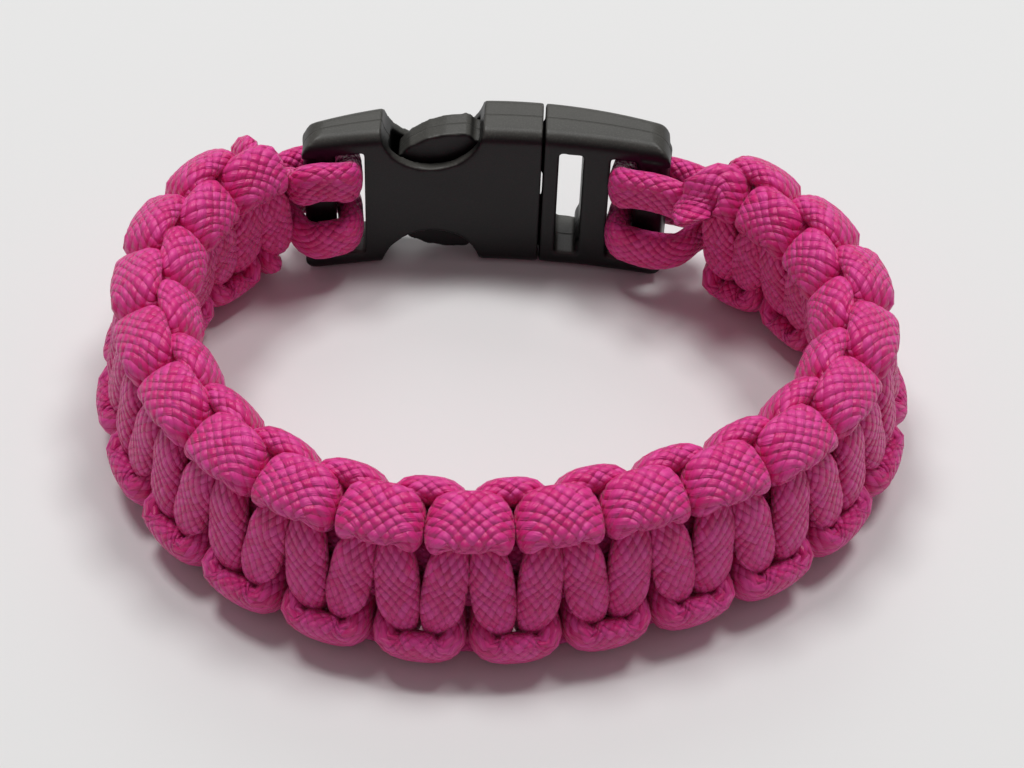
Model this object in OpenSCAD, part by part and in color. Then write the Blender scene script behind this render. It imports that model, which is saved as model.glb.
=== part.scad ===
// Cord bracelet in a cobra weave, closed by a curved side-release buckle.
// It stands on its lower edge: Z is up, +Y is the buckle side, and the
// front of the band faces -Y. Sizes are in millimetres.

/* [Weave] */
// Full knots between the two buckle halves
knot_count = 18; // [17:1:18]
// Middle of the band to the middle of a cord at its edge
edge_height = 7.6; // [7.5:0.1:8]
// Middle of the band to the middle of a cord at its edge, across the thickness
edge_depth = 2.4; // [2.3:0.1:2.8]
// Width of a cord where it crosses the face of the band
bar_width = 3.8; // [3.2:0.1:3.8]
// Thickness of a cord where it crosses the face of the band
bar_thickness = 2.3; // [1.8:0.1:2.3]
// Width of a cord where it wraps an edge of the band
bight_width = 5.2; // [4.4:0.1:5.2]
// Thickness of a cord where it wraps an edge of the band
bight_thickness = 2.5; // [2:0.1:2.6]
// How far the lower edge leans outwards at the front, in degrees
front_lean = 15; // [0:1:16]

/* [Core] */
// Width of a core strand inside the weave
core_width = 3.5; // [3:0.1:3.6]
// Thickness of a core strand inside the weave
core_thickness = 2.3; // [2:0.1:2.4]
// Width of the same strand where it loops round a buckle bar
loop_width = 4.4; // [3.6:0.1:4.8]
// Thickness of the same strand where it loops round a buckle bar
loop_thickness = 2.6; // [2.2:0.1:2.6]
// Middle of the band up to the middle of the upper loops
upper_loop = 4.8; // [4.4:0.1:4.8]
// Middle of the band down to the middle of the lower loops
lower_loop = 3.3; // [3.3:0.1:3.6]
// Middle of the band up to the same upper strand where it lies outside the buckle
upper_tail = 1.3; // [1:0.1:1.3]

/* [Buckle] */
// Height of the buckle, across the band
buckle_height = 19; // [18.2:0.1:19]
// Thickness of the buckle at its middle
buckle_thickness = 6.5; // [6:0.1:7]
// Radius of the curved face towards the wrist
inner_face_radius = 86; // [80:1:90]
// Radius of the curved face away from the wrist
outer_face_radius = 48.5; // [46:0.5:52]
// Rounding of the long edges
edge_round = 1.5; // [0.8:0.1:1.8]
// Wall of the socket over the prongs
socket_wall = 1.2; // [1:0.1:1.3]
// Height of the cord slots
slot_height = 14.4; // [13.8:0.1:14.6]
// Radius of the thumb recesses
thumb_radius = 5.4; // [5:0.1:5.6]

/* [Hidden] */

cord_colour = [0.86, 0.16, 0.50];
plastic_colour = [0.08, 0.08, 0.09];
SIDES = 8;
gap = 0.15;
core_gap = 0.25;

// Plan of the band: arcs from the socket's bar, round the front, to the prong bar
ARC_LENGTH = 0;
ARC_TURN = 1;
ARCS = [
    // length, turn in degrees
    [8, 30.6],
    [18, 48.1],
    [20, 38.6],
    [20, 36],
    [20, 32.2],
    [20, 17.1],
    [20, 41.6],
    [18, 52.2],
    [22, 46],
];
// x, y and heading in degrees at the socket's bar
START = [-20.7, 25.2, -172.9];
band_length = 166;
first_bar = 6.6;
last_bar = 156.4;
bar_count = 2 * knot_count + 1;
bar_step = (last_bar - first_bar) / (bar_count - 1);
pitch = 2 * bar_step;

// Where a strand lies on the face, dives under the other one and wraps the edge
face_depth = core_thickness / 2 + core_gap + bar_thickness / 2;
leg_height = 5.75;

// Columns of a strand's table: along, up and out are the middle of the strand,
// broad and thin are half its section, turned is the way the thin side faces,
// in degrees from straight out towards the edge
ALONG = 0;
UP = 1;
OUT = 2;
BROAD = 3;
THIN = 4;
TURNED = 5;
UPRIGHT = "broad side upright";
BAR = [0, 0, face_depth, bar_width / 2, bar_thickness / 2, 0];
LEAVING = [
    // along in pitches, up, out, broad, thin, turned
    [-0.045, 3.0, face_depth, bar_width * 0.44, bar_thickness / 2, 4],
    [-0.125, leg_height, 0, 0.8, 0.9, 50],
    [-0.03, edge_height - 0.75, -edge_depth + 0.4, 1.5, 1.1, 112],
    [0.15, edge_height, -edge_depth, bight_width / 2, bight_thickness / 2, 135],
];

// Buckle places, in the frame of the bracelet
bar_half_x = 1.7;
bar_half_y = 2.0;
face_centre_x = -0.2;
inner_face_y = 25.6;
outer_face_y = inner_face_y + buckle_thickness;
socket_left = START.x - bar_half_x;
socket_right = 3.05;
socket_slot_right = -15.8;
prong_left = 3.25;
first_slot = [4.9, 7.5];
second_slot_left = 10.4;
thumb_x = -8.7;
thumb_up = 9.9;
cavity_left = -13.3;
prong_gap = 0.2;
lump_radius = 1.9;

function unit(v) = v / norm(v);
function radians(a) = a * PI / 180;

// Pose [x, y, heading] after an arc
function after_arc(pose, length, turn) =
    let (r = length / radians(turn), h = pose[2])
    [pose.x + r * (sin(h + turn) - sin(h)), pose.y - r * (cos(h + turn) - cos(h)), h + turn];

function after_line(pose, length) =
    [pose.x + length * cos(pose[2]), pose.y + length * sin(pose[2]), pose[2]];

// Pose on the band, which goes on straight past the two bars
function pose_at(s, i = 0, pose = START) =
    s <= 0 || i == len(ARCS)
        ? after_line(pose, s)
        : let (arc = ARCS[i], part = min(1, s / arc[ARC_LENGTH]), length = part * arc[ARC_LENGTH])
          pose_at(s - length, i + 1, after_arc(pose, length, part * arc[ARC_TURN]));

// The band leans outwards at the front and stands upright at the buckle
function lean_at(s) =
    let (u = min(1, abs(2 * s / band_length - 1)))
    front_lean * (1 - pow(u, 3));

// Height of the band's middle, with its lowest bights on the ground
function middle_at(s) =
    let (a = lean_at(s),
         broad_drop = bight_width / 2 * (cos(a) - sin(a)) / sqrt(2),
         thin_drop = bight_thickness / 2 * (cos(a) + sin(a)) / sqrt(2))
    edge_height * cos(a) + edge_depth * sin(a)
        + max([for (k = [0 : SIDES - 1])
            broad_drop * cos(k * 360 / SIDES) + thin_drop * sin(k * 360 / SIDES)]);

band_middle = middle_at(0);
end_pose = pose_at(band_length);

// A point of the band: s along, up from its middle, out from its middle
function place(s, up, out) =
    let (pose = pose_at(s), a = lean_at(s), outward = out * cos(a) - up * sin(a))
    [pose.x + outward * sin(pose[2]), pose.y - outward * cos(pose[2]),
     middle_at(s) + up * cos(a) + out * sin(a)];

function row_point(row) = place(row[ALONG], row[UP], row[OUT]);

function row_facing(row) =
    place(row[ALONG], row[UP] + sin(row[TURNED]), row[OUT] + cos(row[TURNED])) - row_point(row);

// The way the thin side of a row faces, for a strand that runs along
function thin_side(row, along) =
    let (facing = row[TURNED] == UPRIGHT
            ? cross(place(row[ALONG], row[UP] + 1, row[OUT]) - row_point(row), along)
            : row_facing(row))
    unit(facing - along * (facing * along));

// Eight-sided section of a strand at row i
function section(rows, i) =
    let (last = len(rows) - 1,
         centre = row_point(rows[i]),
         along = unit(row_point(rows[min(i + 1, last)]) - row_point(rows[max(i - 1, 0)])),
         thin = thin_side(rows[i], along),
         broad = cross(along, thin))
    [for (k = [0 : SIDES - 1])
        centre + broad * rows[i][BROAD] * cos(k * 360 / SIDES)
               + thin * rows[i][THIN] * sin(k * 360 / SIDES)];

module strand(rows) {
    last = len(rows) - 1;
    points = [for (i = [0 : last]) each section(rows, i)];
    sides = [for (i = [0 : last - 1], k = [0 : SIDES - 1])
        let (a = i * SIDES + k,
             b = i * SIDES + (k + 1) % SIDES)
        each [[a, b, a + SIDES], [b, b + SIDES, a + SIDES]]];
    start_cap = [[for (k = [SIDES - 1 : -1 : 0]) k]];
    end_cap = [[for (k = [0 : SIDES - 1]) last * SIDES + k]];
    polyhedron(points = points, faces = concat(start_cap, sides, end_cap), convexity = 10);
}

// The outer weaver's cut end hangs inside the band and points at the buckle
CUT_END = [
    // along in pitches from the last bar, up, out, broad, thin, turned
    [0.4, 6.1, -4.4, 2.3, 1, 150],
    [0.64, 4.6, -5.5, 2.3, 0.9, 172],
];

// One row of a weaver. way is 1 leaving a bar and -1 arriving, edge is 1 at the
// top and -1 at the bottom, face is 1 for bars outside and -1 for bars inside
function weaver_row(j, row, way, edge, face) =
    [first_bar + j * bar_step + way * row[ALONG] * pitch,
     edge * row[UP], face * row[OUT], row[BROAD], row[THIN],
     atan2(edge * sin(row[TURNED]), face * cos(row[TURNED]))];

function leaving_edge(j, face) = (j % 2 == 0 ? 1 : -1) * face;

function weaver_rows(face) =
    [for (j = [0 : bar_count - 1])
        let (edge = leaving_edge(j, face), n = len(LEAVING) - 1)
        each concat(
            [for (i = [n : -1 : 0]) weaver_row(j, LEAVING[i], -1, -edge, face)],
            [weaver_row(j, BAR, 1, edge, face)],
            [for (i = [0 : n]) weaver_row(j, LEAVING[i], 1, edge, face)])];

// A core strand: its loop round a bar starts with a tail outside the band,
// goes through the slot and comes back inside the band to the core
loop_out = bar_half_y + gap + loop_thickness / 2;
loop_through = bar_half_x + gap + loop_thickness / 2;
end_gap = 0.3;
socket_lead = first_bar - bar_width / 2 - end_gap;
prong_lead = band_length - last_bar - bar_width / 2 - end_gap;
core_height = core_width / 2 + 0.1;
core_rings = 26;
RISE = 1;
SHARE = 3;
TAIL = [
    // along in shares of the lead to the first bar, rise (0 at the core's height, 1 at
    // the loop's inside the band, 2 at the tail's outside it), out, share of the core section
    [1, 2, 2.75, 0.6],
    [0.7, 2, 3.1, 0.2],
    [0.3, 2, loop_out, 0],
];
RETURN = [
    [0.36, 1, -loop_out, 0],
    [0.58, 0.75, -3, 0.8],
    [0.76, 0.4, -1.1, 1],
    [0.92, 0.1, 0, 1],
    [1.5, 0, 0, 1],
];
// The bend through the slot is fuller than an ellipse, to clear the bar's corners
BEND = [for (a = [90 : -30 : -90])
    [-loop_through * sqrt(cos(a)), 1.5 + sin(a) / 2, sign(a) * loop_out * sqrt(abs(sin(a))), 0]];
LOOP = concat(TAIL, BEND, RETURN);

function mix(a, b, t) = a + (b - a) * t;

function loop_height(rise, loop, tail) =
    rise < 1 ? mix(core_height, loop, rise) : mix(loop, tail, rise - 1);

// The bend keeps its size at either buckle half, and the legs fill the lead
function loop_row(row, start, way, edge, lead) =
    [start + way * row[ALONG] * (row[ALONG] > 0 ? lead : 1),
     edge > 0 ? loop_height(row[RISE], upper_loop, upper_tail)
              : -loop_height(row[RISE], lower_loop, lower_loop),
     row[OUT],
     mix(loop_width, core_width, row[SHARE]) / 2,
     mix(loop_thickness, core_thickness, row[SHARE]) / 2, UPRIGHT];

function core_rows(edge) =
    let (n = len(LOOP) - 1,
         from = LOOP[n][ALONG] * socket_lead,
         to = band_length - LOOP[n][ALONG] * prong_lead)
    concat(
        [for (i = [0 : n]) loop_row(LOOP[i], 0, 1, edge, socket_lead)],
        [for (i = [1 : core_rings - 1])
            [mix(from, to, i / core_rings), edge * core_height, 0,
             core_width / 2, core_thickness / 2, UPRIGHT]],
        [for (i = [n : -1 : 0]) loop_row(LOOP[i], band_length, -1, edge, prong_lead)]);

// Space between the two curved faces, less a wall
module curved_slab(wall, half_height, round) {
    reach = 30;
    intersection() {
        translate([face_centre_x, inner_face_y - inner_face_radius, 0])
            rotate_extrude($fn = 360)
                rounded_strip(inner_face_radius + wall, inner_face_radius + reach,
                              half_height, round, 0);
        translate([face_centre_x, outer_face_y - outer_face_radius, 0])
            rotate_extrude($fn = 360)
                rounded_strip(outer_face_radius - reach, outer_face_radius - wall,
                              half_height, 0, round);
    }
}

// Profile from radius a to radius b, with its corners rounded at either side
module rounded_strip(a, b, half_height, round_a, round_b) {
    square_a = a + round_a;
    square_b = b - round_b;
    translate([square_a, -half_height])
        square([square_b - square_a, 2 * half_height]);
    if (round_a > 0) {
        translate([a, -half_height + round_a])
            square([round_a, 2 * (half_height - round_a)]);
        for (side = [-1, 1])
            translate([square_a, side * (half_height - round_a)])
                circle(r = round_a, $fn = 32);
    }
    if (round_b > 0) {
        translate([square_b, -half_height + round_b])
            square([round_b, 2 * (half_height - round_b)]);
        for (side = [-1, 1])
            translate([square_b, side * (half_height - round_b)])
                circle(r = round_b, $fn = 32);
    }
}

// Stands a drawing of X and height up as a plate that runs through the buckle
module through(depth = 40) {
    translate([0, depth, 0])
        rotate([90, 0, 0])
            linear_extrude(height = depth)
                children();
}

module rounded_box(left, right, half_height, round) {
    translate([left + round, -half_height])
        square([right - left - round, 2 * half_height]);
    translate([left, -half_height + round])
        square([round, 2 * (half_height - round)]);
    for (side = [-1, 1])
        translate([left + round, side * (half_height - round)])
            circle(r = round, $fn = 48);
}

// Upright bar that a loop of cord goes round
module cord_bar(pose) {
    translate([pose.x, pose.y, 0])
        rotate([0, 0, pose[2]])
            linear_extrude(height = slot_height + 1, center = true) {
                square([2 * bar_half_x - 1.6, 2 * bar_half_y], center = true);
                square([2 * bar_half_x, 2 * bar_half_y - 1.6], center = true);
                for (x = [-1, 1], y = [-1, 1])
                    translate([x * (bar_half_x - 0.8), y * (bar_half_y - 0.8)])
                        circle(r = 0.8, $fn = 24);
            }
}

module buckle_socket() {
    color(plastic_colour) translate([0, 0, band_middle]) {
        difference() {
            intersection() {
                curved_slab(0, buckle_height / 2, edge_round);
                through() rounded_box(socket_left, socket_right, buckle_height / 2, 2.4);
            }
            through() translate([socket_left - 1, -slot_height / 2])
                square([socket_slot_right - socket_left + 1, slot_height]);
            through() for (side = [-1, 1])
                translate([thumb_x, side * thumb_up]) circle(r = thumb_radius, $fn = 96);
            intersection() {
                curved_slab(socket_wall, buckle_height / 2 - 1.9, 0);
                through() translate([cavity_left, -buckle_height / 2])
                    square([socket_right + 1 - cavity_left, buckle_height]);
            }
        }
        cord_bar(START);
    }
}

// Outline of the upper prong: arm, button and tip
module prong_outline() {
    arm_outer = buckle_height / 2 - 2.1;
    button = buckle_height / 2 - 1.2;
    polygon([
        [prong_left + 1, arm_outer], [thumb_x + 4.5, arm_outer], [thumb_x + 4, button - 0.2],
        [thumb_x + 3.5, button], [thumb_x + 1.4, button - 0.1], [thumb_x - 0.6, button - 0.6],
        [thumb_x - 2.4, button - 1.6], [thumb_x - 3.7, button - 3], [thumb_x - 3.6, 3.9],
        [thumb_x - 2.2, 3.3], [prong_left + 1, 3.3]]);
}

module buckle_prongs() {
    color(plastic_colour) translate([0, 0, band_middle]) {
        difference() {
            intersection() {
                curved_slab(0, buckle_height / 2, edge_round);
                through() mirror([1, 0, 0])
                    rounded_box(-end_pose.x - bar_half_x, -prong_left, buckle_height / 2, 2.4);
            }
            through() translate([first_slot[0], -slot_height / 2])
                square([first_slot[1] - first_slot[0], slot_height]);
            through() translate([second_slot_left, -slot_height / 2])
                square([20, slot_height]);
        }
        intersection() {
            curved_slab(socket_wall + prong_gap, buckle_height, 0);
            through() for (side = [0, 1])
                mirror([0, side, 0]) prong_outline();
        }
        intersection() {
            curved_slab(0.4, buckle_height, 0);
            through() translate([(first_slot[1] + second_slot_left) / 2, -slot_height / 2 + 1])
                circle(r = lump_radius, $fn = 32);
        }
        cord_bar(end_pose);
    }
}

module outer_weaver() {
    cut_end = [for (row = CUT_END) weaver_row(bar_count - 1, row, 1, 1, 1)];
    color(cord_colour) strand(concat(weaver_rows(1), cut_end));
}

module inner_weaver() {
    color(cord_colour) strand(weaver_rows(-1));
}

module core_upper() {
    color(cord_colour) strand(core_rows(1));
}

module core_lower() {
    color(cord_colour) strand(core_rows(-1));
}

buckle_socket();
buckle_prongs();
outer_weaver();
inner_weaver();
core_upper();
core_lower();
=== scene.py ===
"""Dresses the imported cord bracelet: a cobra weave of braided nylon cord closed by a curved buckle.

Sizes in the classes below are millimetres and angles are degrees, in the bracelet's own frame:
Z is up, +Y is the buckle side and the front of the band faces -Y. Meshes are written in metres.
"""

import logging
import math
from collections.abc import Sequence
from dataclasses import dataclass
from enum import Enum

import bpy
import numpy as np
from mathutils import Matrix, Vector


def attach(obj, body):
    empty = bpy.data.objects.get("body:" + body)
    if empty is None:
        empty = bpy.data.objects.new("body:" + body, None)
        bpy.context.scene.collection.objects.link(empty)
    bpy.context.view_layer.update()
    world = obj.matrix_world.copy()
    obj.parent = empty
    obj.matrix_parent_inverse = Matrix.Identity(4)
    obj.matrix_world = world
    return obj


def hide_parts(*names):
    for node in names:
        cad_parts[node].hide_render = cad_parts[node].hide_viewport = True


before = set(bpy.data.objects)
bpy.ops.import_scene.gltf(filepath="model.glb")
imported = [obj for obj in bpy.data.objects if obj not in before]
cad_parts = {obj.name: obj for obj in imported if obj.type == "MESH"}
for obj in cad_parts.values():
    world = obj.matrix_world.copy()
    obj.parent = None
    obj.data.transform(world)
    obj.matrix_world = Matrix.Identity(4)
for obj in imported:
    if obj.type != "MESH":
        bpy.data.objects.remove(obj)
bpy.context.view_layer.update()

MM = 0.001
BODY = "root"
SHEATH_UV = "sheath"
READS_PER_ROW = 12
WELD = 1e-6
log = logging.getLogger("bracelet")


class Face(Enum):
    """The side of the band on which a weaver's bars lie."""

    OUTER = 1
    INNER = -1


class Edge(Enum):
    """An edge of the band."""

    TOP = 1
    BOTTOM = -1


class Term:
    """A number in a shader or geometry tree, so that a formula reads like one."""

    def __init__(self, tree: bpy.types.NodeTree, socket: bpy.types.NodeSocket) -> None:
        """Wraps an output socket of the tree.

        Args:
            tree: The tree that holds the socket.
            socket: The output that gives the number.
        """
        self.tree = tree
        self.socket = socket

    def use(self, operation: str, *others: "Term | float") -> "Term":
        """Runs a math node on this number.

        Args:
            operation: The math node's operation.
            others: The node's second and third numbers.

        Returns:
            The node's result.
        """
        node = self.tree.nodes.new("ShaderNodeMath")
        node.operation = operation
        for socket, value in zip(node.inputs, (self, *others)):
            connect(self.tree, value, socket)
        return Term(self.tree, node.outputs[0])

    def __add__(self, other: "Term | float") -> "Term":
        """Adds."""
        return self.use("ADD", other)

    def __radd__(self, other: float) -> "Term":
        """Adds to a plain number."""
        return self.use("ADD", other)

    def __sub__(self, other: "Term | float") -> "Term":
        """Subtracts."""
        return self.use("SUBTRACT", other)

    def __rsub__(self, other: float) -> "Term":
        """Subtracts from a plain number."""
        return self.use("MULTIPLY", -1.0).use("ADD", other)

    def __mul__(self, other: "Term | float") -> "Term":
        """Multiplies."""
        return self.use("MULTIPLY", other)

    def __rmul__(self, other: float) -> "Term":
        """Multiplies a plain number."""
        return self.use("MULTIPLY", other)

    def __truediv__(self, other: "Term | float") -> "Term":
        """Divides."""
        return self.use("DIVIDE", other)

    def __pow__(self, other: "Term | float") -> "Term":
        """Raises to a power."""
        return self.use("POWER", other)

    def floor(self) -> "Term":
        """Rounds down."""
        return self.use("FLOOR")

    def cos(self) -> "Term":
        """Cosine of an angle in radians."""
        return self.use("COSINE")

    def sin(self) -> "Term":
        """Sine of an angle in radians."""
        return self.use("SINE")

    def size(self) -> "Term":
        """Absolute value."""
        return self.use("ABSOLUTE")

    def over(self, low: float, high: float) -> "Term":
        """Smooth step from 0 at low to 1 at high."""
        node = self.tree.nodes.new("ShaderNodeMapRange")
        node.interpolation_type = "SMOOTHSTEP"
        connect(self.tree, self, node.inputs["Value"])
        node.inputs["From Min"].default_value = low
        node.inputs["From Max"].default_value = high
        return Term(self.tree, node.outputs["Result"])


def connect(tree: bpy.types.NodeTree, value: object, socket: bpy.types.NodeSocket) -> None:
    """Links or sets an input.

    Args:
        tree: The tree that holds the input.
        value: A term, an output socket, or a plain value for the input.
        socket: The input.
    """
    if isinstance(value, Term):
        tree.links.new(value.socket, socket)
    elif isinstance(value, bpy.types.NodeSocket):
        tree.links.new(value, socket)
    else:
        socket.default_value = value


def add_node(tree: bpy.types.NodeTree, kind: str, inputs: dict[str, object] | None = None,
             **settings: object) -> bpy.types.Node:
    """Adds a node with its settings and inputs.

    Args:
        tree: The tree that gets the node.
        kind: The node's type.
        inputs: Values or links for named inputs.
        settings: The node's own settings.

    Returns:
        The node.
    """
    node = tree.nodes.new(kind)
    for name, value in settings.items():
        setattr(node, name, value)
    for name, value in (inputs or {}).items():
        connect(tree, value, node.inputs[name])
    return node


@dataclass(frozen=True)
class Braid:
    """The sheath's braid: two sets of strands that each go over one and under one.

    Lanes are counted round the cord, and picks along it.
    """

    lanes: int = 12
    lift: float = 0.5
    bulge: float = 0.5

    def strand(self, across: Term, along: Term, start: float) -> tuple[Term, Term, Term]:
        """One of the two sets of strands.

        Args:
            across: Place across the strands, a unit for each strand.
            along: Place along the strands, a unit for each strand that they cross.
            start: Where strand 0 comes to the top.

        Returns:
            Height from -1 to 1, place from -1 to 1 across the strand, and the number of the
            strand's stretch on top.
        """
        strand_number = across.floor()
        side = (across - strand_number - 0.5) * 2.0
        shifted = along + strand_number - start
        stretch = (shifted * 0.5 + 0.5).floor()
        run = shifted - stretch * 2.0
        height = (run * math.pi).cos() * self.lift + (1.0 - side * side) * self.bulge
        return height, side, stretch * 7.0 + strand_number

    def height(self, lane: Term, pick: Term) -> Term:
        """Height of the sheath's surface, from about -1 in the grooves to 1 on a strand's crown.

        Args:
            lane: Place round the cord in lanes.
            pick: Place along the cord in picks.

        Returns:
            The height.
        """
        p = lane + pick
        q = lane - pick
        rising = self.strand(p, q, 0.5)[0]
        falling = self.strand(q, p, 1.5)[0]
        return rising.use("SMOOTH_MAX", falling, 0.15)


@dataclass(frozen=True)
class Band:
    """Plan and lean of the band, from the socket's bar round the front to the prong bar."""

    arcs: tuple[tuple[float, float], ...] = (
        (8, 30.6), (18, 48.1), (20, 38.6), (20, 36), (20, 32.2), (20, 17.1), (20, 41.6),
        (18, 52.2), (22, 46),
    )
    start: tuple[float, float, float] = (-20.7, 25.2, -172.9)
    length: float = 166.0
    front_lean: float = 15.0
    lean_fade: float = 3.0
    bight_up: float = 7.3
    bight_out: float = 2.15
    bight_half: tuple[float, float] = (1.42, 2.9)
    roundness: float = 2.4
    relief: float = 0.15
    first_bar: float = 6.6
    last_bar: float = 156.4
    bar_count: int = 37

    @property
    def bar_step(self) -> float:
        """Length from one bar to the next."""
        return (self.last_bar - self.first_bar) / (self.bar_count - 1)

    @property
    def pitch(self) -> float:
        """Length of a full knot."""
        return 2 * self.bar_step

    def poses(self, s: np.ndarray) -> np.ndarray:
        """Places and headings on the band's middle line.

        Args:
            s: Lengths from the socket's bar.

        Returns:
            Rows of x, y and heading in radians.
        """
        x, y, heading = self.start[0], self.start[1], math.radians(self.start[2])
        poses = np.column_stack([x + s * math.cos(heading), y + s * math.sin(heading),
                                 np.full_like(s, heading)])
        at = 0.0
        for length, turn in self.arcs:
            bend = math.radians(turn)
            radius = length / bend
            ahead = s > at
            angle = np.minimum((s[ahead] - at) / length, 1.0) * bend + heading
            poses[ahead, 0] = x + radius * (np.sin(angle) - math.sin(heading))
            poses[ahead, 1] = y - radius * (np.cos(angle) - math.cos(heading))
            poses[ahead, 2] = angle
            x += radius * (math.sin(heading + bend) - math.sin(heading))
            y -= radius * (math.cos(heading + bend) - math.cos(heading))
            heading += bend
            at += length
        past = s > at
        poses[past, 0] = x + (s[past] - at) * math.cos(heading)
        poses[past, 1] = y + (s[past] - at) * math.sin(heading)
        return poses

    def lean(self, s: np.ndarray) -> np.ndarray:
        """How far the lower edge leans outwards, in radians."""
        share = np.minimum(np.abs(2 * s / self.length - 1), 1.0)
        return np.radians(self.front_lean) * (1 - share ** self.lean_fade)

    def middle(self, lean: np.ndarray) -> np.ndarray:
        """Height of the band's middle, with its lowest bights on the ground."""
        thin, broad = self.bight_half
        power = self.roundness / (self.roundness - 1)
        drop = ((broad * (np.cos(lean) - np.sin(lean)) / math.sqrt(2)) ** power
                + (thin * (np.cos(lean) + np.sin(lean)) / math.sqrt(2)) ** power) ** (1 / power)
        return self.bight_up * np.cos(lean) + self.bight_out * np.sin(lean) + drop + self.relief

    def place(self, s: np.ndarray, up: np.ndarray, out: np.ndarray) -> np.ndarray:
        """Points of the band.

        Args:
            s: Lengths along the band.
            up: Heights from its middle, along the leaning band.
            out: Distances outwards from its middle.

        Returns:
            Rows of x, y and z.
        """
        poses, lean = self.poses(s), self.lean(s)
        outward = out * np.cos(lean) - up * np.sin(lean)
        return np.column_stack([
            poses[:, 0] + outward * np.sin(poses[:, 2]),
            poses[:, 1] - outward * np.cos(poses[:, 2]),
            self.middle(lean) + up * np.cos(lean) + out * np.sin(lean),
        ])


@dataclass(frozen=True)
class Knot:
    """One row of a strand's table, in the band's own terms.

    along, up and out place the strand's middle. across is its half width along the band where
    the strand crosses it, deep is its other half width, and swing turns deep from straight out
    towards the edge, in degrees.
    """

    along: float
    up: float
    out: float
    across: float
    deep: float
    swing: float

    def row(self, start: float, way: float, edge: int, face: int, pitch: float) -> list[float]:
        """This row on the band.

        Args:
            start: Where the row's table starts along the band.
            way: 1 leaving that place and -1 arriving at it.
            edge: 1 towards the top and -1 towards the bottom.
            face: 1 for bars on the outer face and -1 for bars on the inner one.
            pitch: What a unit of along is worth.

        Returns:
            Length, up, out, across, deep, and the two parts of the deep direction.
        """
        turn = math.radians(self.swing)
        return [start + way * self.along * pitch, edge * self.up, face * self.out,
                self.across, self.deep, edge * math.sin(turn), face * math.cos(turn)]


def smooth_rows(rows: np.ndarray, stations: np.ndarray, at: np.ndarray) -> np.ndarray:
    """Cubic curve through rows, with each row's slope taken from its neighbours.

    Args:
        rows: The rows, one for each station.
        stations: Growing places of the rows.
        at: Places to read.

    Returns:
        A row for each place.
    """
    steps = np.diff(stations)
    slopes = np.diff(rows, axis=0) / steps[:, None]
    weight = (steps[:-1] / (steps[:-1] + steps[1:]))[:, None]
    tangents = np.vstack([slopes[:1], slopes[:-1] * (1 - weight) + slopes[1:] * weight, slopes[-1:]])
    i = np.clip(np.searchsorted(stations, at, side="right") - 1, 0, len(steps) - 1)
    h = steps[i][:, None]
    t = ((at - stations[i]) / steps[i])[:, None]
    return ((2 * t ** 3 - 3 * t ** 2 + 1) * rows[i] + (t ** 3 - 2 * t ** 2 + t) * h * tangents[i]
            + (3 * t ** 2 - 2 * t ** 3) * rows[i + 1] + (t ** 3 - t ** 2) * h * tangents[i + 1])


def lengths_along(points: np.ndarray) -> np.ndarray:
    """Running length of a line of points."""
    return np.concatenate([[0.0], np.cumsum(np.linalg.norm(np.diff(points, axis=0), axis=1))])


def unit(vectors: np.ndarray) -> np.ndarray:
    """Rows of length 1."""
    return vectors / np.linalg.norm(vectors, axis=1, keepdims=True)


@dataclass
class Strand:
    """One cord of the bracelet as it is swept: a ring of the sheath at each of many places."""

    name: str
    centre: np.ndarray
    across_way: np.ndarray
    deep_way: np.ndarray
    across: np.ndarray
    deep: np.ndarray
    picks: np.ndarray

    @classmethod
    def through(cls, name: str, band: Band, rows: Sequence[Sequence[float]], pick: float,
                rings_per_pick: int = 2, end_round: float = 1.6) -> "Strand":
        """Lays a strand through rows of the band.

        Args:
            name: The strand's name.
            band: The band that the rows are measured on.
            rows: Length, up, out, across, deep and the two parts of the deep direction.
            pick: Length of a pick of the braid.
            rings_per_pick: Rings for each pick.
            end_round: Length over which each end closes.

        Returns:
            The strand.
        """
        table = np.array(rows, float)
        stations = lengths_along(band.place(*table[:, :3].T))
        fine = smooth_rows(table, stations, np.linspace(0, stations[-1], READS_PER_ROW * len(table)))
        run = lengths_along(band.place(*fine[:, :3].T))
        count = int(run[-1] / pick * rings_per_pick)
        at = np.linspace(0, run[-1], count)
        even = np.column_stack([np.interp(at, run, column) for column in fine.T])
        centre = band.place(*even[:, :3].T)
        facing = band.place(even[:, 0], even[:, 1] + even[:, 5], even[:, 2] + even[:, 6]) - centre
        tangent = unit(np.gradient(centre, axis=0))
        deep_way = unit(facing - tangent * (facing * tangent).sum(axis=1, keepdims=True))
        close = np.minimum(at, at[-1] - at) / end_round
        taper = np.sqrt(1 - (1 - np.minimum(close, 1.0)) ** 2)
        return cls(name, centre, np.cross(tangent, deep_way), deep_way,
                   even[:, 3] * taper, even[:, 4] * taper, at / pick)


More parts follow.
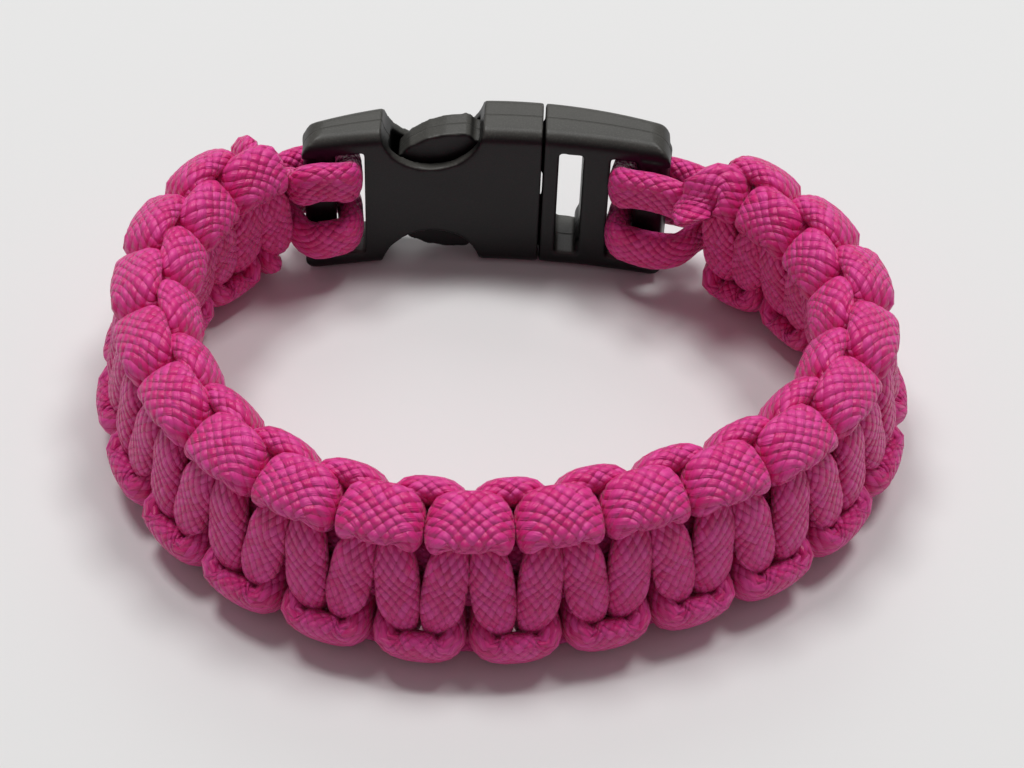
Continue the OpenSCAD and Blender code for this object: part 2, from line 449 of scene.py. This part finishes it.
class SheathSweep:
    """Geometry nodes that sweep a braided sheath along a strand's rings."""

    VECTORS = ("centre", "across_way", "deep_way")
    NUMBERS = ("across", "deep", "picks")
    TURN = "turn"

    def __init__(self, braid: Braid) -> None:
        """Builds the tree.

        Args:
            braid: The braid whose relief the sheath has.
        """
        self.braid = braid
        self.tree = bpy.data.node_groups.new("sheath_sweep", "GeometryNodeTree")
        self.build()

    def attribute(self, name: str, kind: str = "FLOAT") -> bpy.types.NodeSocket:
        """An attribute of the geometry as it stands."""
        node = add_node(self.tree, "GeometryNodeInputNamedAttribute", {"Name": name}, data_type=kind)
        return node.outputs["Attribute"]

    def number(self, name: str) -> Term:
        """A number attribute as a term."""
        return Term(self.tree, self.attribute(name))

    def build(self) -> None:
        """Fills the tree: line, sweep, section with relief, own map, closed seam, material."""
        tree = self.tree
        face = tree.interface
        face.new_socket("Line", in_out="INPUT", socket_type="NodeSocketGeometry")
        for name, kind, value in (("Sides", "NodeSocketInt", 44), ("Roundness", "NodeSocketFloat", 2.4),
                                  ("Relief", "NodeSocketFloat", 0.00006),
                                  ("Material", "NodeSocketMaterial", None)):
            socket = face.new_socket(name, in_out="INPUT", socket_type=kind)
            if value is not None:
                socket.default_value = value
        face.new_socket("Cord", in_out="OUTPUT", socket_type="NodeSocketGeometry")
        given = tree.nodes.new("NodeGroupInput").outputs
        result = tree.nodes.new("NodeGroupOutput")

        line = add_node(tree, "GeometryNodeMeshToCurve", {"Mesh": given["Line"]})
        ring = add_node(tree, "GeometryNodeResampleCurve", {
            "Curve": tree.nodes.new("GeometryNodeCurvePrimitiveLine").outputs["Curve"],
            "Count": (Term(tree, given["Sides"]) + 1.0).socket})
        place = tree.nodes.new("GeometryNodeSplineParameter").outputs["Factor"]
        marked = add_node(tree, "GeometryNodeStoreNamedAttribute",
                          {"Geometry": ring.outputs["Curve"], "Name": self.TURN, "Value": place})
        swept = add_node(tree, "GeometryNodeCurveToMesh",
                         {"Curve": line.outputs["Curve"], "Profile Curve": marked.outputs["Geometry"]})

        turn, across, deep = (self.number(name) for name in (self.TURN, "across", "deep"))
        lane = turn * float(self.braid.lanes)
        even = (deep - across) / (deep + across + 1e-9) * 0.5
        angle = turn * (2 * math.pi) + (turn * (4 * math.pi)).sin() * even
        roundness = Term(tree, given["Roundness"])
        reach = (((angle.cos() / (across + 1e-9)).size() ** roundness)
                 + ((angle.sin() / (deep + 1e-9)).size() ** roundness)) ** (roundness ** -1.0 * -1.0)
        relief = self.braid.height(lane, self.number("picks")) * Term(tree, given["Relief"])
        radius = reach + relief * (across * 2000.0).use("MINIMUM", 1.0)
        position = self.sum_of(self.attribute("centre", "FLOAT_VECTOR"),
                               self.scaled("across_way", angle.cos() * radius),
                               self.scaled("deep_way", angle.sin() * radius))
        placed = add_node(tree, "GeometryNodeSetPosition",
                          {"Geometry": swept.outputs["Mesh"], "Position": position})
        pair = add_node(tree, "ShaderNodeCombineXYZ", {"X": lane, "Y": self.number("picks")})
        mapped = add_node(tree, "GeometryNodeStoreNamedAttribute",
                          {"Geometry": placed.outputs["Geometry"], "Name": SHEATH_UV,
                           "Value": pair.outputs["Vector"]},
                          data_type="FLOAT2", domain="CORNER")
        closed = add_node(tree, "GeometryNodeMergeByDistance",
                          {"Geometry": mapped.outputs["Geometry"], "Distance": WELD})
        smooth = add_node(tree, "GeometryNodeSetShadeSmooth", {"Geometry": closed.outputs["Geometry"]})
        real = add_node(tree, "GeometryNodeRealizeInstances", {"Geometry": smooth.outputs["Geometry"]})
        done = add_node(tree, "GeometryNodeSetMaterial",
                        {"Geometry": real.outputs["Geometry"], "Material": given["Material"]})
        tree.links.new(done.outputs["Geometry"], result.inputs["Cord"])

    def scaled(self, way: str, amount: Term) -> bpy.types.NodeSocket:
        """A direction attribute times a number."""
        node = add_node(self.tree, "ShaderNodeVectorMath", operation="SCALE")
        connect(self.tree, self.attribute(way, "FLOAT_VECTOR"), node.inputs[0])
        connect(self.tree, amount, node.inputs["Scale"])
        return node.outputs["Vector"]

    def sum_of(self, *vectors: bpy.types.NodeSocket) -> bpy.types.NodeSocket:
        """Sum of vectors."""
        total = vectors[0]
        for vector in vectors[1:]:
            node = add_node(self.tree, "ShaderNodeVectorMath", operation="ADD")
            connect(self.tree, total, node.inputs[0])
            connect(self.tree, vector, node.inputs[1])
            total = node.outputs["Vector"]
        return total

    def sweep(self, strand: Strand, material: bpy.types.Material, sides: int, roundness: float,
              relief: float) -> bpy.types.Object:
        """Makes a strand's sheath.

        Args:
            strand: The strand's rings.
            material: The sheath's finish.
            sides: Points in a ring.
            roundness: 2 for an oval section, more for a squarer one.
            relief: Height of the braid's crowns over the middle of the relief.

        Returns:
            The cord as a closed mesh with its own map of lanes and picks.
        """
        mesh = bpy.data.meshes.new(strand.name)
        count = len(strand.centre)
        mesh.from_pydata(strand.centre * MM, [(i, i + 1) for i in range(count - 1)], [])
        for name in self.VECTORS:
            scale = MM if name == "centre" else 1.0
            values = np.ascontiguousarray(getattr(strand, name) * scale, np.float32)
            mesh.attributes.new(name, "FLOAT_VECTOR", "POINT").data.foreach_set("vector", values.ravel())
        for name in self.NUMBERS:
            scale = 1.0 if name == "picks" else MM
            values = np.ascontiguousarray(getattr(strand, name) * scale, np.float32)
            mesh.attributes.new(name, "FLOAT", "POINT").data.foreach_set("value", values)
        holder = bpy.data.objects.new(strand.name + "_line", mesh)
        bpy.context.scene.collection.objects.link(holder)
        given = {"Sides": sides, "Roundness": roundness, "Relief": relief * MM, "Material": material}
        cord = run_nodes(holder, self.tree, given, strand.name)
        for name in (*self.VECTORS, *self.NUMBERS, self.TURN):
            if name in cord.data.attributes:
                cord.data.attributes.remove(cord.data.attributes[name])
        return facing_out(cord)


def run_nodes(holder: bpy.types.Object, tree: bpy.types.NodeTree, given: dict[str, object],
              name: str) -> bpy.types.Object:
    """Runs a geometry tree on an object and keeps the result as a plain mesh.

    Args:
        holder: The object that the tree starts from, which is removed.
        tree: The geometry tree.
        given: Values of the tree's named inputs.
        name: The new piece's name.

    Returns:
        The piece.
    """
    modifier = holder.modifiers.new(tree.name, "NODES")
    modifier.node_group = tree
    for item in tree.interface.items_tree:
        if item.item_type == "SOCKET" and item.in_out == "INPUT" and item.name in given:
            modifier[item.identifier] = given[item.name]
    depsgraph = bpy.context.evaluated_depsgraph_get()
    mesh = bpy.data.meshes.new_from_object(holder.evaluated_get(depsgraph))
    mesh.name = name
    holder.modifiers.remove(modifier)
    bpy.data.objects.remove(holder)
    piece = bpy.data.objects.new(name, mesh)
    bpy.context.scene.collection.objects.link(piece)
    return piece


def facing_out(piece: bpy.types.Object) -> bpy.types.Object:
    """Turns a closed piece's faces outwards if they point in."""
    mesh = piece.data
    mesh.calc_loop_triangles()
    points = np.empty(len(mesh.vertices) * 3)
    mesh.vertices.foreach_get("co", points)
    points = points.reshape(-1, 3)
    corners = np.empty(len(mesh.loop_triangles) * 3, np.int32)
    mesh.loop_triangles.foreach_get("vertices", corners)
    a, b, c = (points[corners.reshape(-1, 3)[:, k]] for k in range(3))
    if (a * np.cross(b, c)).sum() < 0:
        mesh.flip_normals()
    return piece


def keep(piece: bpy.types.Object, slot: str, *nodes: str) -> None:
    """Puts a finished piece on the bracelet's body.

    Args:
        piece: The piece.
        slot: The record's material slot for the piece; not used.
        nodes: The CAD nodes that it stands for.
    """
    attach(piece, BODY)
    if nodes:
        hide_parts(*nodes)
    piece.data.calc_loop_triangles()
    log.info("%s: %d triangles", piece.name, len(piece.data.loop_triangles))


def colour_mix(tree: bpy.types.NodeTree, share: object, first: object,
               second: object) -> bpy.types.NodeSocket:
    """Blends two colours.

    Args:
        tree: The shader tree.
        share: Share of the second colour.
        first: Colour where the share is 0.
        second: Colour where the share is 1.

    Returns:
        The blended colour.
    """
    node = add_node(tree, "ShaderNodeMix", data_type="RGBA")
    connect(tree, share, node.inputs[0])
    connect(tree, first, node.inputs[6])
    connect(tree, second, node.inputs[7])
    return node.outputs[2]


class BraidShade:
    """Shader group of the braid: relief height, grooves, fibres and the brightness of each strand."""

    def __init__(self, braid: Braid) -> None:
        """Builds the group.

        Args:
            braid: The braid that it shows.
        """
        self.braid = braid
        self.group = bpy.data.node_groups.new("braid_shade", "ShaderNodeTree")
        self.build()

    def build(self) -> None:
        """Fills the group."""
        tree = self.group
        face = tree.interface
        face.new_socket("Map", in_out="INPUT", socket_type="NodeSocketVector")
        face.new_socket("Fibre", in_out="INPUT", socket_type="NodeSocketFloat").default_value = 0.5
        for name in ("Height", "Groove", "Strand"):
            face.new_socket(name, in_out="OUTPUT", socket_type="NodeSocketFloat")
        given = tree.nodes.new("NodeGroupInput").outputs
        result = tree.nodes.new("NodeGroupOutput").inputs
        place = add_node(tree, "ShaderNodeSeparateXYZ", {"Vector": given["Map"]})
        lane, pick = (Term(tree, place.outputs[axis]) for axis in "XY")
        p = lane + pick
        q = lane - pick
        rising, rising_side, rising_number = self.braid.strand(p, q, 0.5)
        falling, falling_side, falling_number = self.braid.strand(q, p, 1.5)
        on_top = rising.use("GREATER_THAN", falling)
        under = 1.0 - on_top
        number = rising_number * on_top + (falling_number + 0.5) * under
        side = rising_side * on_top + falling_side * under
        noise = add_node(tree, "ShaderNodeTexWhiteNoise", noise_dimensions="1D")
        connect(tree, number, noise.inputs["W"])
        along = q * on_top + p * under
        spot = add_node(tree, "ShaderNodeCombineXYZ",
                        {"X": side * 2.6, "Y": along * 0.5, "Z": number * 1.7})
        fibre = add_node(tree, "ShaderNodeTexNoise", {"Vector": spot.outputs["Vector"], "Scale": 1.0,
                                                      "Detail": 2.0, "Roughness": 0.6})
        fibres = (Term(tree, fibre.outputs["Fac"]) - 0.5) * Term(tree, given["Fibre"])
        top = rising.use("SMOOTH_MAX", falling, 0.08)
        connect(tree, top + fibres, result["Height"])
        # Groove mask: the material paints shade into the grooves with it and makes them rougher.
        connect(tree, 1.0 - top.over(-0.1, 0.4), result["Groove"])
        connect(tree, noise.outputs["Value"], result["Strand"])


@dataclass(frozen=True)
class SheathFinish:
    """Finish of the nylon sheath: bright strands, painted shade in the grooves between them and a slight
    shine.
    """

    name: str = "pink_sheath"
    crown: tuple[float, float, float, float] = (0.74, 0.014, 0.2, 1)
    pale: tuple[float, float, float, float] = (0.84, 0.05, 0.34, 1)
    # Painted shade: a darker crimson for the braid's grooves, standing in for the shade and red bounce
    # light there.
    shaded_groove: tuple[float, float, float, float] = (0.5, 0.004, 0.05, 1)
    roughness: float = 0.42
    sheen: float = 0.2
    sheen_roughness: float = 0.4
    sheen_tint: tuple[float, float, float, float] = (1.0, 0.75, 0.85, 1)
    bump_height: float = 0.00032

    def material(self, shade: BraidShade) -> bpy.types.Material:
        """Builds the finish.

        Args:
            shade: The shader group of the braid.

        Returns:
            The material.
        """
        material = bpy.data.materials.new(self.name)
        material.use_nodes = True
        tree = material.node_tree
        shader = tree.nodes["Principled BSDF"]
        own_map = add_node(tree, "ShaderNodeUVMap", uv_map=SHEATH_UV)
        group = add_node(tree, "ShaderNodeGroup", node_tree=shade.group)
        connect(tree, own_map.outputs["UV"], group.inputs["Map"])
        shaded_groove = Term(tree, group.outputs["Groove"])
        strand = Term(tree, group.outputs["Strand"])
        body = colour_mix(tree, strand, self.crown, self.pale)
        # Painted shade: the grooves are blended towards the darker crimson.
        connect(tree, colour_mix(tree, shaded_groove * 0.95, body, self.shaded_groove), shader.inputs["Base Color"])
        connect(tree, shaded_groove * 0.3 + strand * 0.12 + (self.roughness - 0.06), shader.inputs["Roughness"])
        bump = add_node(tree, "ShaderNodeBump", {"Height": group.outputs["Height"],
                                                 "Strength": 1.0, "Distance": self.bump_height})
        connect(tree, bump.outputs["Normal"], shader.inputs["Normal"])
        shader.inputs["Sheen Weight"].default_value = self.sheen
        shader.inputs["Sheen Roughness"].default_value = self.sheen_roughness
        shader.inputs["Sheen Tint"].default_value = self.sheen_tint
        return material


@dataclass(frozen=True)
class PlasticFinish:
    """Finish of the buckle: satin black moulded plastic with a fine grain and a parting line.

    Faces that look up carry a pale haze that is partly dust and partly painted light, brightening the top
    faces.

    The parting line runs midway between the two curved faces, whose middles and radii are
    given in metres.
    """

    name: str = "black_plastic"
    colour: tuple[float, float, float, float] = (0.0035, 0.0035, 0.0036, 1)
    # Pale colour of the upward faces: partly dust, partly painted light on the top.
    dust_and_top_light: tuple[float, float, float, float] = (0.072, 0.07, 0.063, 1)
    specular: float = 0.3
    roughness: float = 0.4
    inner_face: tuple[float, float] = (-0.0604, 0.086)
    outer_face: tuple[float, float] = (-0.0164, 0.0485)
    face_middle_x: float = -0.0002
    line_width: float = 0.00012
    grain_height: float = 0.00003

    def off_face(self, tree: bpy.types.NodeTree, place: bpy.types.NodeSocket,
                 face: tuple[float, float]) -> Term:
        """Distance outside a curved face.

        Args:
            tree: The shader tree.
            place: The place on the buckle.
            face: The y of the face's middle, and its radius.

        Returns:
            The distance.
        """
        away = add_node(tree, "ShaderNodeVectorMath", operation="SUBTRACT")
        connect(tree, place, away.inputs[0])
        away.inputs[1].default_value = (self.face_middle_x, face[0], 0.0)
        flat = add_node(tree, "ShaderNodeVectorMath", operation="MULTIPLY")
        connect(tree, away.outputs["Vector"], flat.inputs[0])
        flat.inputs[1].default_value = (1.0, 1.0, 0.0)
        length = add_node(tree, "ShaderNodeVectorMath", operation="LENGTH")
        connect(tree, flat.outputs["Vector"], length.inputs[0])
        return Term(tree, length.outputs["Value"]) - face[1]

    def material(self) -> bpy.types.Material:
        """Builds the finish."""
        material = bpy.data.materials.new(self.name)
        material.use_nodes = True
        tree = material.node_tree
        shader = tree.nodes["Principled BSDF"]
        place = tree.nodes.new("ShaderNodeTexCoord").outputs["Object"]
        grain = add_node(tree, "ShaderNodeTexNoise", {"Vector": place, "Scale": 5200.0, "Detail": 3.0})
        cloud = add_node(tree, "ShaderNodeTexNoise", {"Vector": place, "Scale": 140.0, "Detail": 4.0})
        patch = Term(tree, cloud.outputs["Fac"])
        off_middle = (self.off_face(tree, place, self.inner_face)
                      + self.off_face(tree, place, self.outer_face)).size() * 0.5
        line = 1.0 - off_middle.over(self.line_width * 0.4, self.line_width)
        connect(tree, patch * 0.14 + line * 0.2 + (self.roughness - 0.07), shader.inputs["Roughness"])
        speck = Term(tree, grain.outputs["Fac"]).over(0.45, 0.7)
        facing = add_node(tree, "ShaderNodeSeparateXYZ",
                          {"Vector": tree.nodes.new("ShaderNodeNewGeometry").outputs["Normal"]})
        # Partly dust, partly painted light: faces that look up are blended towards the pale colour, which
        # brightens the buckle's top.
        upward = Term(tree, facing.outputs["Z"]).over(0.35, 0.95)
        dust_and_lit_top = upward * (patch * 0.7 + speck * 0.25 + 0.45) + speck * 0.04
        connect(tree, colour_mix(tree, dust_and_lit_top, self.colour, self.dust_and_top_light), shader.inputs["Base Color"])
        shader.inputs["Specular IOR Level"].default_value = self.specular
        height = Term(tree, grain.outputs["Fac"]) * 0.35 - line * 2.0
        bump = add_node(tree, "ShaderNodeBump", {"Height": height, "Strength": 1.0,
                                                 "Distance": self.grain_height})
        connect(tree, bump.outputs["Normal"], shader.inputs["Normal"])
        return material


@dataclass
class Weave:
    """The cobra weave: two cords that cross the band in bars and hook round each other at its edges."""

    band: Band
    pick: float = 1.15
    sides: int = 48
    roundness: float = 2.4
    relief: float = 0.07
    face_depth: float = 2.55

    def table(self) -> tuple[Knot, ...]:
        """Rows from a bar's middle to the middle of the next bight."""
        up, out, face = self.band.bight_up, -self.band.bight_out, self.face_depth
        return (
            Knot(-0.040, 2.7, face, 1.95, 1.3, 4),
            Knot(-0.085, 4.2, 0.62 * face, 1.4, 1.7, 24),
            Knot(-0.105, up - 2.35, 0.0, 1.08, 2.3, 45),
            Knot(-0.103, up - 1.4, out + 0.9, 1.2, 2.5, 40),
            Knot(-0.085, up - 0.75, out + 0.1, 1.25, 2.5, 36),
            Knot(-0.030, up - 0.25, out, 1.3, 2.6, 41),
            Knot(0.080, up, out, 1.4, 2.85, 45),
        )

    def rows(self, face: Face) -> list[list[float]]:
        """All rows of one weaver.

        Args:
            face: The side on which its bars lie.

        Returns:
            The rows, from the socket end to the prong end.
        """
        leaving = self.table()
        bar = Knot(0, 0, self.face_depth, 2.1, 1.3, 0)
        proud = 0.05
        crown = Knot(0.25, self.band.bight_up + proud, -self.band.bight_out - proud,
                     *self.band.bight_half, 45)
        rows = []
        for j in range(self.band.bar_count):
            start = self.band.first_bar + j * self.band.bar_step
            edge = face.value * (Edge.TOP if j % 2 == 0 else Edge.BOTTOM).value
            after = (bar, *leaving)
            if j < self.band.bar_count - 1:
                after += (crown,)
            elif face is Face.OUTER:
                after += self.cut_end()
            rows += [knot.row(start, -1, -edge, face.value, self.band.pitch) for knot in reversed(leaving)]
            rows += [knot.row(start, 1, edge, face.value, self.band.pitch) for knot in after]
        return rows

    def cut_end(self) -> tuple[Knot, ...]:
        """Rows from the last bar to the cut end that points at the buckle."""
        return (Knot(0.28, 6.9, -3.3, 1.0, 2.5, 60), Knot(0.42, 6.0, -4.5, 0.85, 2.4, 30),
                Knot(0.56, 5.0, -5.1, 0.8, 2.3, 12), Knot(0.7, 4.4, -5.4, 0.8, 2.3, 5))

    def build(self, sweep: SheathSweep, material: bpy.types.Material) -> None:
        """Makes both weavers.

        Args:
            sweep: The sheath's geometry nodes.
            material: The sheath's finish.
        """
        for face, node in ((Face.OUTER, "outer_weaver"), (Face.INNER, "inner_weaver")):
            strand = Strand.through(node + "_cord", self.band, self.rows(face), self.pick)
            piece = sweep.sweep(strand, material, self.sides, self.roundness, self.relief)
            keep(piece, "weave_cord", node)


@dataclass
class CoreStrands:
    """The two strands that run through the weave and loop round the buckle's bars."""

    band: Band
    pick: float = 1.15
    sides: int = 44
    roundness: float = 2.3
    relief: float = 0.05
    loop_half: tuple[float, float] = (1.35, 2.3)
    core_half: tuple[float, float] = (1.15, 1.75)
    loop_heights: tuple[float, float] = (4.8, 3.3)
    tail_heights: tuple[float, float] = (1.3, 3.3)
    core_height: float = 1.85
    loop_out: float = 3.5
    loop_through: float = 3.2
    leads: tuple[float, float] = (4.4, 7.4)
    rings: int = 26

    def loop(self) -> list[tuple[float, float, float, float]]:
        """A loop from its tail outside the band to the core.

        Returns:
            Rows of along, rise, out, and the share of the core's section. A positive along is
            in shares of the lead to the first bar. Rise is 0 at the core's height, 1 at the
            loop's inside the band and 2 at the tail's outside it.
        """
        bend = [(-self.loop_through * math.sqrt(math.cos(a)), 1.5 + 0.5 * math.sin(a),
                 math.copysign(self.loop_out * math.sqrt(abs(math.sin(a))), a), 0.0)
                for a in np.radians(np.arange(75, -76, -15))]
        tail = [(1.0, 2.0, 2.75, 0.6), (0.7, 2.0, 3.1, 0.2), (0.3, 2.0, self.loop_out, 0.0)]
        back = [(0.36, 1.0, -self.loop_out, 0.0), (0.58, 0.75, -3.0, 0.4),
                (0.76, 0.4, -1.1, 0.8), (0.92, 0.1, 0.0, 1.0), (1.5, 0.0, 0.0, 1.0)]
        return tail + bend + back

    def rows(self, edge: Edge) -> list[list[float]]:
        """All rows of one core strand, from the socket's loop to the prongs' loop."""
        which = 0 if edge is Edge.TOP else 1
        heights = self.core_height, self.loop_heights[which], self.tail_heights[which]

        def row(along: float, rise: float, out: float, share: float) -> list[float]:
            """One row on the band."""
            across, deep = (a + (b - a) * share for a, b in zip(self.loop_half, self.core_half))
            up = float(np.interp(rise, (0, 1, 2), heights))
            return [along, edge.value * up, out, across, deep, 1.0, 0.0]

        loop = self.loop()
        socket = [row(a * (self.leads[0] if a > 0 else 1), u, o, m) for a, u, o, m in loop]
        prong = [row(self.band.length - a * (self.leads[1] if a > 0 else 1), u, o, m)
                 for a, u, o, m in loop]
        ends = socket[-1][0], prong[-1][0]
        middle = [row(s, 0.0, 0.0, 1.0) for s in np.linspace(*ends, self.rings)[1:-1]]
        return socket + middle + prong[::-1]

    def build(self, sweep: SheathSweep, material: bpy.types.Material) -> None:
        """Makes both core strands.

        Args:
            sweep: The sheath's geometry nodes.
            material: The sheath's finish.
        """
        for edge, node in ((Edge.TOP, "core_upper"), (Edge.BOTTOM, "core_lower")):
            strand = Strand.through(node + "_cord", self.band, self.rows(edge), self.pick)
            piece = sweep.sweep(strand, material, self.sides, self.roundness, self.relief)
            keep(piece, "core_cord", node)


@dataclass
class Buckle:
    """The side-release buckle, moulded with softly rounded edges."""

    grain: float = 0.2
    smoothing: int = 5

    def half(self, node: str, material: bpy.types.Material) -> bpy.types.Object:
        """One half, with the sharp edges of its solid rounded.

        Args:
            node: The CAD node that the half is made from.
            material: The plastic.

        Returns:
            The half as a closed mesh.
        """
        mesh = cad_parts[node].data.copy()
        mesh.materials.clear()
        half = bpy.data.objects.new(node + "_moulded", mesh)
        bpy.context.scene.collection.objects.link(half)
        weld = half.modifiers.new("weld", "WELD")
        weld.merge_threshold = WELD
        remesh = half.modifiers.new("remesh", "REMESH")
        remesh.mode = "VOXEL"
        remesh.voxel_size = self.grain * MM
        remesh.use_smooth_shade = True
        smooth = half.modifiers.new("smooth", "SMOOTH")
        smooth.factor = 0.5
        smooth.iterations = self.smoothing
        moulded = bpy.data.meshes.new_from_object(half.evaluated_get(bpy.context.evaluated_depsgraph_get()))
        half.modifiers.clear()
        half.data = moulded
        moulded.name = half.name
        moulded.materials.append(material)
        return facing_out(half)

    def build(self, material: bpy.types.Material) -> None:
        """Makes both halves."""
        for node in ("buckle_socket", "buckle_prongs"):
            keep(self.half(node, material), "buckle_plastic", node)


@dataclass(frozen=True)
class Lamp:
    """A square soft light: its name, place and side in metres, and power in watts."""

    name: str
    place: tuple[float, float, float]
    size: float
    power: float


@dataclass
class Studio:
    """Pale floor, soft lights and the camera at the photograph's angle."""

    eye: tuple[float, float, float] = (0.9, -171.5, 191.5)
    look_down: float = 46.94
    roll: float = 2.47
    lens: float = 86.7
    floor_size: float = 6.0
    floor_colour: tuple[float, float, float, float] = (0.80, 0.80, 0.795, 1)
    lamps: tuple[Lamp, ...] = (
        Lamp("back_left", (-0.3, 0.3, 1.1), 0.3, 5.2),
        Lamp("back_right", (0.35, 0.3, 1.1), 0.3, 5.2),
        Lamp("far_window", (0.0, 1.1, 0.95), 0.7, 3.0),
    )
    room_light: float = 0.2

    def camera(self) -> None:
        """Places the camera."""
        data = bpy.data.cameras.new("camera")
        data.lens = self.lens
        data.sensor_width = 36.0
        data.clip_start = 0.01
        camera = bpy.data.objects.new("camera", data)
        down, roll = math.radians(self.look_down), math.radians(self.roll)
        ahead = Vector((0, math.cos(down), -math.sin(down)))
        side, above = Vector((1, 0, 0)), Vector((0, math.sin(down), math.cos(down)))
        right = math.cos(roll) * side + math.sin(roll) * above
        up = math.cos(roll) * above - math.sin(roll) * side
        camera.matrix_world = Matrix.Translation(Vector(self.eye) * MM) @ Matrix(
            (right, up, -ahead)).transposed().to_4x4()
        bpy.context.scene.collection.objects.link(camera)
        bpy.context.scene.camera = camera

    def floor(self) -> None:
        """Makes the pale floor."""
        half = self.floor_size / 2
        mesh = bpy.data.meshes.new("floor")
        mesh.from_pydata([(-half, -half, 0), (half, -half, 0), (half, half, 0), (-half, half, 0)], [],
                         [(0, 1, 2, 3)])
        floor = bpy.data.objects.new("floor", mesh)
        material = bpy.data.materials.new("pale_floor")
        material.use_nodes = True
        shader = material.node_tree.nodes["Principled BSDF"]
        shader.inputs["Base Color"].default_value = self.floor_colour
        shader.inputs["Roughness"].default_value = 0.7
        shader.inputs["Specular IOR Level"].default_value = 0.2
        mesh.materials.append(material)
        bpy.context.scene.collection.objects.link(floor)

    def hang(self, lamp: Lamp) -> None:
        """Adds a lamp that faces the bracelet."""
        data = bpy.data.lights.new(lamp.name, "AREA")
        data.size = lamp.size
        data.energy = lamp.power
        light = bpy.data.objects.new(lamp.name, data)
        light.location = lamp.place
        aim = Vector((0, 0, 0.01)) - Vector(lamp.place)
        light.rotation_euler = aim.to_track_quat("-Z", "Y").to_euler()
        bpy.context.scene.collection.objects.link(light)

    def build(self) -> None:
        """Sets up the whole studio."""
        self.camera()
        self.floor()
        for lamp in self.lamps:
            self.hang(lamp)
        world = bpy.data.worlds.new("soft_room")
        world.use_nodes = True
        background = world.node_tree.nodes["Background"]
        background.inputs["Color"].default_value = (1.0, 1.0, 1.0, 1)
        background.inputs["Strength"].default_value = self.room_light
        bpy.context.scene.world = world
        bpy.context.scene.view_settings.view_transform = "Standard"


def main() -> None:
    """Builds the bracelet piece by piece."""
    logging.basicConfig(level=logging.INFO, format="%(name)s: %(message)s")
    Studio().build()
    braid, band = Braid(), Band()
    sweep, shade = SheathSweep(braid), BraidShade(braid)
    sheath = SheathFinish().material(shade)
    Weave(band).build(sweep, sheath)
    CoreStrands(band).build(sweep, sheath)
    Buckle().build(PlasticFinish().material())


if __name__ == "__main__":
    main()
